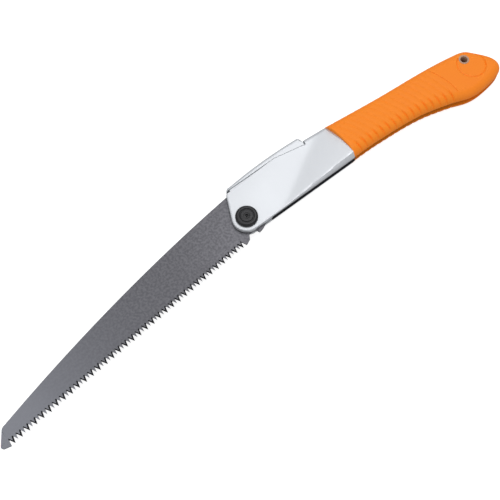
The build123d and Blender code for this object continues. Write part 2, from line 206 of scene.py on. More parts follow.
def nearest_on(line: Array, points: Array) -> tuple[Array, Array]:
    """Find the nearest spot of a polyline to each point.

    Args:
        line: Points of the open polyline.
        points: Places to measure from.

    Returns:
        The distances, and the stations along the line as index plus fraction.
    """
    start, run = line[:-1], np.diff(line, axis=0)
    length2 = np.maximum((run**2).sum(1), 1e-12)
    distance = np.zeros(len(points))
    station = np.zeros(len(points))
    block = 2000
    for low in range(0, len(points), block):
        p = points[low : low + block, None, :]
        along = np.clip(((p - start) * run).sum(2) / length2, 0, 1)
        gap = np.linalg.norm(p - (start + along[..., None] * run), axis=2)
        pick = gap.argmin(1)
        rows = np.arange(len(pick))
        distance[low : low + block] = gap[rows, pick]
        station[low : low + block] = pick + along[rows, pick]
    return distance, station


def inside(loop: Array, points: Array) -> Array:
    """Tell which points lie inside a closed loop.

    Args:
        loop: Corners of the loop.
        points: Places to test.

    Returns:
        One truth value for each point.
    """
    result = np.zeros(len(points), bool)
    x, y = points[:, 0], points[:, 1]
    for (x0, y0), (x1, y1) in zip(loop, np.roll(loop, -1, axis=0)):
        if y0 == y1:
            continue
        crossing = ((y0 > y) != (y1 > y)) & (x < (x1 - x0) * (y - y0) / (y1 - y0) + x0)
        result ^= crossing
    return result


def counter_clockwise(loop: Array) -> Array:
    """Return the loop wound counter-clockwise."""
    x, y = loop[:, 0], loop[:, 1]
    area = float((x * np.roll(y, -1) - np.roll(x, -1) * y).sum())
    return loop if area > 0 else loop[::-1]


def inset(loop: Array, distance: float) -> Array:
    """Move each point of a counter-clockwise loop inwards, square to its neighbours."""
    chord = np.roll(loop, -1, axis=0) - np.roll(loop, 1, axis=0)
    chord /= np.linalg.norm(chord, axis=1)[:, None]
    return loop + distance * np.column_stack([-chord[:, 1], chord[:, 0]])


def soft_rise(value: Array, width: float) -> Array:
    """Ramp that leaves zero gradually, over about the given width."""
    return 0.5 * (value + np.sqrt(value**2 + width**2))


def soft_low(a: Array, b: Array, width: float) -> Array:
    """Lower of two surfaces, blended where they meet."""
    return 0.5 * (a + b - np.sqrt((a - b) ** 2 + width**2))


def fade(value: Array, low: float, high: float) -> Array:
    """Smooth step from 0 at low to 1 at high."""
    t = np.clip((value - low) / (high - low), 0, 1)
    return t * t * (3 - 2 * t)


# ---------------------------------------------------------------- mesh making
def mesh_object(name: str, vertices: Array, faces: Sequence[Sequence[int]]) -> bpy.types.Object:
    """Make an object from points and faces.

    Args:
        name: Name of the piece.
        vertices: Points in millimetres.
        faces: Vertex numbers of each face.

    Returns:
        The linked object, with outward normals.
    """
    mesh = bpy.data.meshes.new(name)
    mesh.from_pydata([tuple(v) for v in np.asarray(vertices) * MM], [], [list(f) for f in faces])
    mesh.update()
    shape = bmesh.new()
    shape.from_mesh(mesh)
    bmesh.ops.recalc_face_normals(shape, faces=shape.faces)
    shape.to_mesh(mesh)
    shape.free()
    piece = bpy.data.objects.new(name, mesh)
    bpy.context.scene.collection.objects.link(piece)
    return piece


def shade(piece: bpy.types.Object, sharp_degrees: float = SHARP_DEG) -> None:
    """Shade a piece smooth, with its hard corners kept sharp.

    Args:
        piece: Mesh object to shade.
        sharp_degrees: Corners that turn more than this stay sharp.
    """
    shape = bmesh.new()
    shape.from_mesh(piece.data)
    limit = math.radians(sharp_degrees)
    for face in shape.faces:
        face.smooth = True
    for edge in shape.edges:
        edge.smooth = len(edge.link_faces) == 2 and edge.calc_face_angle(0.0) < limit
    shape.to_mesh(piece.data)
    shape.free()


def prism(name: str, outline: Array, low: float, high: float) -> bpy.types.Object:
    """Make a straight prism along the pivot axis.

    Args:
        name: Name of the object.
        outline: Corners of its section.
        low: Height of its lower end, mm.
        high: Height of its upper end, mm.

    Returns:
        The prism.
    """
    outline = counter_clockwise(np.asarray(outline, float))
    count = len(outline)
    base = np.column_stack([outline, np.full(count, low)])
    top = np.column_stack([outline, np.full(count, high)])
    sides = [(i, (i + 1) % count, count + (i + 1) % count, count + i) for i in range(count)]
    return mesh_object(
        name, np.vstack([base, top]), [range(count)[::-1], range(count, 2 * count), *sides]
    )


class Cut(Enum):
    """Ways to combine two closed meshes."""

    TAKE_AWAY = "DIFFERENCE"
    JOIN = "UNION"
    KEEP_COMMON = "INTERSECT"


def combine(piece: bpy.types.Object, how: Cut, *others: bpy.types.Object) -> bpy.types.Object:
    """Cut or join a piece with helper meshes, which are used up.

    Args:
        piece: Mesh object that is changed.
        how: What to do with each helper.
        others: Closed helper meshes.

    Returns:
        The changed piece.
    """
    for other in others:
        modifier = piece.modifiers.new("combine", "BOOLEAN")
        modifier.operation = how.value
        modifier.solver = "EXACT"
        modifier.object = other
        graph = bpy.context.evaluated_depsgraph_get()
        mesh = bpy.data.meshes.new_from_object(piece.evaluated_get(graph))
        piece.modifiers.clear()
        spent = piece.data
        piece.data = mesh
        bpy.data.meshes.remove(spent)
        bpy.data.objects.remove(other)
    piece.data.name = piece.name
    return piece


@dataclass
class Triangulation:
    """Flat triangles between loops, with the numbers that the given points got."""

    points: Array
    triangles: Array
    place: Array


def triangulate(loops: Sequence[Array], extra: Array, creases: Sequence[Array] = ()) -> Triangulation:
    """Fill the space between loops with triangles.

    Args:
        loops: The outer loop first, then one loop for each hole.
        extra: Points inside that the triangles use.
        creases: Open polylines that triangle edges follow.

    Returns:
        The triangles, with place giving each given point's number: loops, extra, then creases.
    """
    rows, edges, base = [], [], 0
    for loop in loops:
        count = len(loop)
        rows.append(loop)
        edges += [(base + i, base + (i + 1) % count) for i in range(count)]
        base += count
    rows.append(extra.reshape(-1, 2))
    base += len(rows[-1])
    for crease in creases:
        rows.append(crease)
        edges += [(base + i, base + i + 1) for i in range(len(crease) - 1)]
        base += len(crease)
    given = [Vector(p) for p in np.vstack(rows)]
    found = delaunay_2d_cdt(given, edges, [], 1, 1e-6)
    points = np.array([tuple(p) for p in found[0]])
    triangles = np.array([tuple(t) for t in found[2]])
    centres = points[triangles].mean(axis=1)
    keep = inside(loops[0], centres)
    for hole in loops[1:]:
        keep &= ~inside(hole, centres)
    place = np.full(len(given), -1)
    for new, olds in enumerate(found[3]):
        place[list(olds)] = new
    return Triangulation(points, triangles[keep], place)


def two_sided(
    name: str, fill: Triangulation, near_z: Array, far_z: Array, loops: Sequence[Array]
) -> bpy.types.Object:
    """Close a flat triangulation into a solid with two shaped faces.

    Args:
        name: Name of the piece.
        fill: The triangles in the XY plane.
        near_z: Height of each point on the near face, mm.
        far_z: Height of each point on the far face, mm.
        loops: The loops that were filled, in the order they were given.

    Returns:
        The closed piece; its near triangles come first, then the far ones, then the walls.
    """
    count = len(fill.points)
    near = np.column_stack([fill.points, near_z])
    far = np.column_stack([fill.points, far_z])
    faces = [tuple(t) for t in fill.triangles]
    faces += [tuple(t[::-1] + count) for t in fill.triangles]
    base = 0
    for loop in loops:
        ring = fill.place[base : base + len(loop)]
        for a, b in zip(ring, np.roll(ring, -1)):
            faces.append((a, b, b + count, a + count))
        base += len(loop)
    return mesh_object(name, np.vstack([near, far]), faces)


@dataclass
class Rim:
    """Run of a border whose edge is rounded over."""

    line: Array
    radius: float | Array

    def drop(self, points: Array) -> Array:
        """How far the rounding takes the face down at each point, mm."""
        distance, station = nearest_on(self.line, points)
        if np.ndim(self.radius):
            radius = np.interp(station, np.arange(len(self.line)), self.radius)
        else:
            radius = np.full(len(points), float(self.radius))
        left = np.clip(radius - distance, 0, None)
        return radius - np.sqrt(np.maximum(radius**2 - left**2, 0))


@dataclass
class ReliefPlate:
    """Plate, the same on both sides, whose faces follow a height field with rounded rims."""

    name: str
    outline: Array
    half: Callable[[Array], Array]
    rims: Sequence[Rim]
    holes: Sequence[Array] = ()
    step: float = 1.2
    band: float = 1.2
    ring_count: int = 5

    def height(self, points: Array) -> Array:
        """Half thickness at each point, mm."""
        drop = np.zeros(len(points))
        for rim in self.rims:
            drop = np.maximum(drop, rim.drop(points))
        return self.half(points) - drop

    def build(self) -> bpy.types.Object:
        """Fill the outline and raise it to its two faces.

        Returns:
            The closed piece.
        """
        loops = [dense(counter_clockwise(self.outline), self.step, closed=True)]
        loops += [counter_clockwise(np.asarray(hole)) for hole in self.holes]
        borders = [np.vstack([loop, loop[:1]]) for loop in loops]
        inner = []
        for k in range(1, self.ring_count + 1):
            depth = self.band * (1 - math.cos(k * math.pi / 2 / self.ring_count))
            ring = inset(loops[0], depth)
            ring = ring[inside(loops[0], ring)]
            gap = np.min([nearest_on(border, ring)[0] for border in borders], axis=0)
            inner.append(ring[gap > 0.9 * depth])
        low, high = loops[0].min(0), loops[0].max(0)
        rows = np.arange(low[1], high[1], self.step * math.sqrt(3) / 2)
        grid = []
        for i, y in enumerate(rows):
            x = np.arange(low[0] + (i % 2) * self.step / 2, high[0], self.step)
            grid.append(np.column_stack([x, np.full(len(x), y)]))
        lattice = np.vstack(grid)
        lattice = lattice[inside(loops[0], lattice)]
        gap = np.min([nearest_on(border, lattice)[0] for border in borders], axis=0)
        inner.append(lattice[gap > self.band + self.step * 0.35])
        fill = triangulate(loops, np.vstack(inner))
        height = self.height(fill.points)
        return two_sided(self.name, fill, MID_Z + height, MID_Z - height, loops)


def rounded_profile(corners: Sequence[tuple[float, float, float]], steps: int = 4) -> Array:
    """Round the corners of a turned part's section.

    Args:
        corners: Radius, height and rounding of each corner, mm.
        steps: Points on each rounded corner, less one.

    Returns:
        The section's points as radius and height.
    """
    points = [np.array(c[:2]) for c in corners]
    rows = []
    for i, (r, z, rounding) in enumerate(corners):
        if rounding == 0 or i in (0, len(corners) - 1):
            rows.append([(r, z)])
            continue
        back = points[i - 1] - points[i]
        ahead = points[i + 1] - points[i]
        back /= np.linalg.norm(back)
        ahead /= np.linalg.norm(ahead)
        start, end = points[i] + back * rounding, points[i] + ahead * rounding
        t = np.linspace(0, 1, steps + 1)[:, None]
        rows.append((1 - t) ** 2 * start + 2 * t * (1 - t) * points[i] + t**2 * end)
    return np.vstack(rows)


def turned(
    name: str, profile: Array, centre: Point2 = (0.0, 0.0), count: int = 96, ring: bool = False
) -> bpy.types.Object:
    """Turn a section about an axis along +Z.

    Args:
        name: Name of the piece.
        profile: Radius and height of the section's points, mm.
        centre: Where the axis stands.
        count: Number of steps round.
        ring: Whether the section closes on itself, clear of the axis.

    Returns:
        The turned piece.
    """
    angles = np.linspace(0, math.tau, count, endpoint=False)
    vertices, start, faces = [], [], []
    for radius, height in profile:
        start.append(len(vertices))
        if radius < 1e-6:
            vertices.append((centre[0], centre[1], height))
        else:
            vertices += [
                (centre[0] + radius * math.cos(a), centre[1] + radius * math.sin(a), height)
                for a in angles
            ]
    last = len(profile) if ring else len(profile) - 1
    for k in range(last):
        m = (k + 1) % len(profile)
        k_axis, m_axis = profile[k][0] < 1e-6, profile[m][0] < 1e-6
        for i in range(count):
            j = (i + 1) % count
            if k_axis:
                faces.append((start[k], start[m] + i, start[m] + j))
            elif m_axis:
                faces.append((start[k] + i, start[k] + j, start[m]))
            else:
                faces.append((start[k] + i, start[k] + j, start[m] + j, start[m] + i))
    return mesh_object(name, np.array(vertices), faces)


# ---------------------------------------------------------------- finishes
class Graph:
    """Node tree that is filled in by short calls."""

    def __init__(self, tree: bpy.types.NodeTree) -> None:
        """Start on an empty tree."""
        self.tree = tree
        self.column = 0

    def node(self, kind: str, **settings: object) -> bpy.types.Node:
        """Add a node and set its properties.

        Args:
            kind: Node type, such as ShaderNodeMix.
            **settings: Properties of the node.

        Returns:
            The new node.
        """
        made = self.tree.nodes.new(kind)
        made.location = (self.column * 190, 0)
        self.column += 1
        for key, value in settings.items():
            setattr(made, key, value)
        return made

    def feed(self, socket: bpy.types.NodeSocket, value: object) -> None:
        """Link a socket to another one, or set its value."""
        if isinstance(value, bpy.types.NodeSocket):
            self.tree.links.new(value, socket)
        elif isinstance(value, tuple) and len(value) == 3 and socket.type == "RGBA":
            socket.default_value = (*value, 1.0)
        else:
            socket.default_value = value

    def maths(self, operation: str, *values: object) -> bpy.types.NodeSocket:
        """Add a Math node.

        Args:
            operation: Operation of the node.
            *values: Its inputs, as numbers or sockets.

        Returns:
            The result.
        """
        made = self.node("ShaderNodeMath", operation=operation)
        for i, value in enumerate(values):
            self.feed(made.inputs[i], value)
        return made.outputs[0]

    def noise(self, where: bpy.types.NodeSocket, scale: object, detail: float) -> bpy.types.NodeSocket:
        """Add a noise texture.

        Args:
            where: Coordinates.
            scale: Cells per metre, as a number or a socket.
            detail: Octaves.

        Returns:
            The noise, about 0.5.
        """
        made = self.node("ShaderNodeTexNoise")
        self.feed(made.inputs["Vector"], where)
        self.feed(made.inputs["Scale"], scale)
        self.feed(made.inputs["Detail"], detail)
        return made.outputs["Fac"]

    def spread(
        self, value: object, low: object, high: object, to_low: object, to_high: object
    ) -> bpy.types.NodeSocket:
        """Add a clamped Map Range node.

        Args:
            value: What is mapped.
            low: Value that becomes to_low.
            high: Value that becomes to_high.
            to_low: Result at the low end.
            to_high: Result at the high end.

        Returns:
            The mapped value.
        """
        made = self.node("ShaderNodeMapRange", interpolation_type="SMOOTHSTEP")
        for name, item in zip(
            ("Value", "From Min", "From Max", "To Min", "To Max"), (value, low, high, to_low, to_high)
        ):
            self.feed(made.inputs[name], item)
        return made.outputs["Result"]

    def mix(self, factor: object, first: object, second: object) -> bpy.types.NodeSocket:
        """Mix two colours.

        Args:
            factor: Share of the second.
            first: Colour at 0.
            second: Colour at 1.

        Returns:
            The mixed colour.
        """
        made = self.node("ShaderNodeMix", data_type="RGBA")
        self.feed(made.inputs[0], factor)
        self.feed(made.inputs[6], first)
        self.feed(made.inputs[7], second)
        return made.outputs[2]


class Effects:
    """Shader node groups that several finishes share."""

    def __init__(self) -> None:
        """Build every group once."""
        self.mottle = self._mottle()
        self.grain = self._grain()
        self.brushed = self._brushed()
        self.edge_wear = self._edge_wear()

    @staticmethod
    def _group(
        name: str, inputs: dict[str, float], outputs: Sequence[str]
    ) -> tuple[Graph, bpy.types.Node, bpy.types.Node]:
        """Start a group with float sockets.

        Args:
            name: Name of the group.
            inputs: Input names and their default values.
            outputs: Output names.

        Returns:
            The graph to fill, its input node and its output node.
        """
        tree = bpy.data.node_groups.new(name, "ShaderNodeTree")
        for label, value in inputs.items():
            socket = tree.interface.new_socket(name=label, in_out="INPUT", socket_type="NodeSocketFloat")
            socket.default_value = value
        for label in outputs:
            tree.interface.new_socket(name=label, in_out="OUTPUT", socket_type="NodeSocketFloat")
        graph = Graph(tree)
        return graph, graph.node("NodeGroupInput"), graph.node("NodeGroupOutput")

    def _mottle(self) -> bpy.types.NodeTree:
        """Broad and fine cloudiness, 0 to 1.

        Returns:
            The group.
        """
        g, given, result = self._group(
            "mottle", {"Broad Scale": 60.0, "Fine Scale": 900.0, "Contrast": 0.5}, ["Tint"]
        )
        where = g.node("ShaderNodeTexCoord").outputs["Object"]
        broad = g.noise(where, given.outputs["Broad Scale"], 3.0)
        fine = g.noise(where, given.outputs["Fine Scale"], 4.0)
        both = g.maths("ADD", g.maths("MULTIPLY", broad, 0.55), g.maths("MULTIPLY", fine, 0.45))
        centred = g.maths("SUBTRACT", both, 0.5)
        scaled = g.maths("MULTIPLY_ADD", centred, g.maths("MULTIPLY", given.outputs["Contrast"], 4.0), 0.5)
        g.feed(result.inputs["Tint"], g.maths("MAXIMUM", g.maths("MINIMUM", scaled, 1.0), 0.0))
        return g.tree

    def _grain(self) -> bpy.types.NodeTree:
        """Fine pebbled surface, for moulded, cast and sprayed skins.

        Returns:
            The group.
        """
        g, given, result = self._group("grain", {"Scale": 2500.0}, ["Height"])
        where = g.node("ShaderNodeTexCoord").outputs["Object"]
        cells = g.node("ShaderNodeTexVoronoi", feature="SMOOTH_F1")
        g.feed(cells.inputs["Vector"], where)
        g.feed(cells.inputs["Scale"], given.outputs["Scale"])
        speck = g.noise(where, g.maths("MULTIPLY", given.outputs["Scale"], 1.7), 2.0)
        pebbles = g.maths("MULTIPLY", cells.outputs["Distance"], 0.7)
        g.feed(result.inputs["Height"], g.maths("ADD", pebbles, g.maths("MULTIPLY", speck, 0.5)))
        return g.tree

    def _brushed(self) -> bpy.types.NodeTree:
        """Fine lines left by grinding, along X or Y.

        Returns:
            The group.
        """
        g, given, result = self._group("brushed", {"Along X": 60.0, "Along Y": 2500.0}, ["Line"])
        where = g.node("ShaderNodeTexCoord").outputs["Object"]
        stretch = g.node("ShaderNodeCombineXYZ")
        g.feed(stretch.inputs["X"], given.outputs["Along X"])
        g.feed(stretch.inputs["Y"], given.outputs["Along Y"])
        g.feed(stretch.inputs["Z"], 400.0)
        scaled = g.node("ShaderNodeVectorMath", operation="MULTIPLY")
        g.feed(scaled.inputs[0], where)
        g.feed(scaled.inputs[1], stretch.outputs[0])
        g.feed(result.inputs["Line"], g.noise(scaled.outputs[0], 1.0, 5.0))
        return g.tree

    def _edge_wear(self) -> bpy.types.NodeTree:
        """Mask of outward edges, broken up by noise.

        Returns:
            The group.
        """
        g, given, result = self._group("edge_wear", {"Reach": 0.04, "Break Up": 500.0}, ["Mask"])
        convex = g.node("ShaderNodeNewGeometry").outputs["Pointiness"]
        where = g.node("ShaderNodeTexCoord").outputs["Object"]
        edge = g.spread(convex, 0.5, g.maths("ADD", 0.502, given.outputs["Reach"]), 0.0, 1.0)
        patches = g.spread(g.noise(where, given.outputs["Break Up"], 3.0), 0.35, 0.65, 0.25, 1.0)
        g.feed(result.inputs["Mask"], g.maths("MULTIPLY", edge, patches))
        return g.tree


@dataclass(frozen=True)
class Finish:
    """Procedural surface: two mottled tones, worn edges, fine relief."""

    name: str
    tone: Colour
    tone_low: Colour
    edge: Colour
    metallic: float = 0.0
    roughness: float = 0.5
    roughness_spread: float = 0.08
    broad_scale: float = 60.0
    fine_scale: float = 900.0
    contrast: float = 0.5
    grain_scale: float = 2500.0
    relief: float = 0.15
    relief_depth: float = 0.00002
    edge_share: float = 0.5
    edge_reach: float = 0.05
    coat: float = 0.0
    coat_roughness: float = 0.2
    specular: float = 0.5
    brushed_x: float = 0.0
    brushed_y: float = 0.0

    def _painted_light_tint(self, g: Graph, colour: bpy.types.NodeSocket) -> bpy.types.NodeSocket:
        """Hook where a finish paints light as a change of colour along the piece; the plain finish paints
        none.
        """
        return colour

    def material(self, effects: Effects) -> bpy.types.Material:
        """Make the material.

        Args:
            effects: The shared node groups.

        Returns:
            A new material of this finish.
        """
        made = bpy.data.materials.new(self.name)
        made.use_nodes = True
        made.node_tree.nodes.clear()
        g = Graph(made.node_tree)
        mottle = g.node("ShaderNodeGroup", node_tree=effects.mottle)
        for label, value in (
            ("Broad Scale", self.broad_scale),
            ("Fine Scale", self.fine_scale),
            ("Contrast", self.contrast),
        ):
            g.feed(mottle.inputs[label], value)
        tint = mottle.outputs["Tint"]
        colour = g.mix(tint, self.tone_low, self.tone)
        height = self._height(g, effects)
        wear = g.node("ShaderNodeGroup", node_tree=effects.edge_wear)
        g.feed(wear.inputs["Reach"], self.edge_reach)
        mask = g.maths("MULTIPLY", wear.outputs["Mask"], self.edge_share)
        # finishes that paint light add it here as colour (the blade's paler tip)
        colour = self._painted_light_tint(g, g.mix(mask, colour, self.edge))
        shader = g.node("ShaderNodeBsdfPrincipled")
        g.feed(shader.inputs["Base Color"], colour)
        low, high = self.roughness - self.roughness_spread, self.roughness + self.roughness_spread
        g.feed(shader.inputs["Roughness"], g.spread(tint, 0.0, 1.0, low, high))
        bump = g.node("ShaderNodeBump")
        g.feed(bump.inputs["Strength"], self.relief)
        g.feed(bump.inputs["Distance"], self.relief_depth)
        g.feed(bump.inputs["Height"], height)
        g.feed(shader.inputs["Normal"], bump.outputs["Normal"])
        for label, value in (
            ("Metallic", self.metallic),
            ("Coat Weight", self.coat),
            ("Coat Roughness", self.coat_roughness),
            ("Specular IOR Level", self.specular),
        ):
            g.feed(shader.inputs[label], value)
        output = g.node("ShaderNodeOutputMaterial")
        g.feed(output.inputs["Surface"], shader.outputs["BSDF"])
        return made

    def _height(self, g: Graph, effects: Effects) -> bpy.types.NodeSocket:
        """Fine relief: pebbles, or lines where the finish is brushed.

        Args:
            g: Graph of the material.
            effects: The shared node groups.

        Returns:
            The height for the bump.
        """
        grain = g.node("ShaderNodeGroup", node_tree=effects.grain)
        g.feed(grain.inputs["Scale"], self.grain_scale)
        if not self.brushed_x:
            return grain.outputs["Height"]
        lines = g.node("ShaderNodeGroup", node_tree=effects.brushed)
        g.feed(lines.inputs["Along X"], self.brushed_x)
        g.feed(lines.inputs["Along Y"], self.brushed_y)
        return g.maths("ADD", lines.outputs["Line"], g.maths("MULTIPLY", grain.outputs["Height"], 0.4))


@dataclass(frozen=True)
class BladeFinishAndPaintedLight(Finish):
    """Plated blade steel, with painted light: paler towards the tip, where the light fell brighter."""

    # painted light: the paler tip tone and where its fade starts and ends stand in for light falling
    # brighter towards the tip
    painted_tip_light: Colour = (0.21, 0.215, 0.24)
    painted_light_from: float = -0.03
    painted_light_to: float = -0.27

    def _painted_light_tint(self, g: Graph, colour: bpy.types.NodeSocket) -> bpy.types.NodeSocket:
        """Painted light: fade along X towards the paler tip tone, standing in for brighter light on the tip.
        """
        place = g.node("ShaderNodeSeparateXYZ")
        g.feed(place.inputs[0], g.node("ShaderNodeTexCoord").outputs["Object"])
        ahead = g.maths("MULTIPLY", place.outputs["X"], -1.0)
        along = g.spread(ahead, -self.painted_light_from, -self.painted_light_to, 0.0, 1.0)
        return g.mix(g.maths("POWER", along, 1.6), colour, self.painted_tip_light)


def finishes() -> dict[Slot | str, Finish]:
    """Every finish of the saw, by slot.

    Returns:
        The finishes, with the ground facets under their own name.
    """
    orange = (1.0, 0.27, 0.012)
    orange_low = (0.97, 0.235, 0.010)
    return {
        # the blade's fade to a paler tip tone is painted light, not the plating's own colour
        Slot.BLADE: BladeFinishAndPaintedLight(
            "blade_plating_and_painted_light", (0.088, 0.086, 0.096), (0.076, 0.074, 0.084), (0.30, 0.30, 0.32),
            metallic=0.85, roughness=0.42, roughness_spread=0.05, broad_scale=35.0, fine_scale=1400.0,
            contrast=0.55, relief=0.25, relief_depth=0.00001, brushed_x=1800.0, brushed_y=90.0,
            edge_share=0.25,
        ),
        "ground_facet": Finish(
            "ground_facet", (0.030, 0.030, 0.034), (0.018, 0.018, 0.021), (0.10, 0.10, 0.11),
            metallic=0.8, roughness=0.36, fine_scale=2000.0, brushed_x=900.0, brushed_y=4000.0,
            relief=0.3, relief_depth=0.00001, edge_share=0.2,
        ),
        Slot.ALLOY: Finish(
            "silver_casting", (0.60, 0.615, 0.64), (0.575, 0.59, 0.615), (0.78, 0.80, 0.83),
            metallic=0.5, roughness=0.42, roughness_spread=0.04, broad_scale=25.0, fine_scale=1800.0,
            contrast=0.35, grain_scale=3200.0, relief=0.12, relief_depth=0.00001, coat=0.15,
        ),
        Slot.GRIP: Finish(
            "grip_rubber", orange, orange_low, (1.0, 0.33, 0.03),
            roughness=0.52, roughness_spread=0.05, broad_scale=22.0, fine_scale=1500.0, contrast=0.45,
            grain_scale=2600.0, relief=0.30, relief_depth=0.00002, edge_share=0.35, specular=0.25,
        ),
        Slot.BLACK: Finish(
            "black_oxide", (0.016, 0.016, 0.018), (0.009, 0.009, 0.010), (0.09, 0.09, 0.095),
            metallic=0.5, roughness=0.34, fine_scale=1600.0, relief=0.2, relief_depth=0.00001,
            edge_share=0.45,
        ),
        Slot.LINER: Finish(
            "channel_plastic", (0.020, 0.021, 0.026), (0.013, 0.014, 0.017), (0.05, 0.05, 0.06),
            roughness=0.45, relief=0.3, relief_depth=0.00002, edge_share=0.3,
        ),
        Slot.BRONZE: Finish(
            "washer_bronze", (0.42, 0.25, 0.10), (0.33, 0.18, 0.07), (0.60, 0.42, 0.22),
            metallic=1.0, roughness=0.35, fine_scale=1800.0, relief=0.2, relief_depth=0.00001,
        ),
        Slot.BUSH: Finish(
            "bush_steel", (0.42, 0.43, 0.45), (0.34, 0.35, 0.37), (0.6, 0.6, 0.62),
            metallic=1.0, roughness=0.3, brushed_x=2500.0, brushed_y=2500.0, relief=0.2,
            relief_depth=0.00001,
        ),
        Slot.SPRING: Finish(
            "spring_steel", (0.20, 0.20, 0.22), (0.14, 0.14, 0.16), (0.4, 0.4, 0.42),
            metallic=1.0, roughness=0.32, relief=0.2, relief_depth=0.00001,
        ),
        Slot.PAWL: Finish(
            "pawl_steel", (0.26, 0.26, 0.28), (0.19, 0.19, 0.21), (0.45, 0.45, 0.48),
            metallic=1.0, roughness=0.36, brushed_x=80.0, brushed_y=2600.0, relief=0.25,
            relief_depth=0.00001,
        ),
        Slot.PIN: Finish(
            "pin_steel", (0.50, 0.51, 0.53), (0.42, 0.43, 0.45), (0.65, 0.65, 0.68),
            metallic=1.0, roughness=0.28, relief=0.15, relief_depth=0.00001,
        ),
        Slot.EYELET: Finish(
            "eyelet_plastic", (0.50, 0.30, 0.20), (0.40, 0.23, 0.15), (0.62, 0.45, 0.34),
            roughness=0.4, relief=0.2, relief_depth=0.00001, edge_share=0.4,
        ),
    }


class Workshop:
    """Dresses pieces and puts them on the frame."""

    def __init__(self) -> None:
        """Make the shared groups and one material for each finish."""
        self.effects = Effects()
        self.materials = {key: finish.material(self.effects) for key, finish in finishes().items()}

    def fit(
        self, piece: bpy.types.Object, body: Body, slot: Slot, *replaced: str, sharp: float = SHARP_DEG
    ) -> bpy.types.Object:
        """Dress a new piece and mount it on its body.

        Args:
            piece: Mesh object in place.
            body: Body that carries it.
            slot: Finish slot that it takes.
            *replaced: CAD nodes that it stands for.
            sharp: Corners that turn more than this stay sharp, degrees.

        Returns:
            The mounted piece.
        """
        if not piece.data.materials:
            piece.data.materials.append(self.materials[slot])
        shade(piece, sharp)
        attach(piece, body.value)
        if replaced:
            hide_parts(*replaced)
        LOG.info("%s: %d faces, rides on %s", piece.name, len(piece.data.polygons), body.value)
        return piece

    def dress(self, node: str, slot: Slot) -> None:
        """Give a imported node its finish."""
        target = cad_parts[node]
        target.data.materials.clear()
        target.data.materials.append(self.materials[slot])
        LOG.info("%s: packed shape, finish %s", node, slot.value)


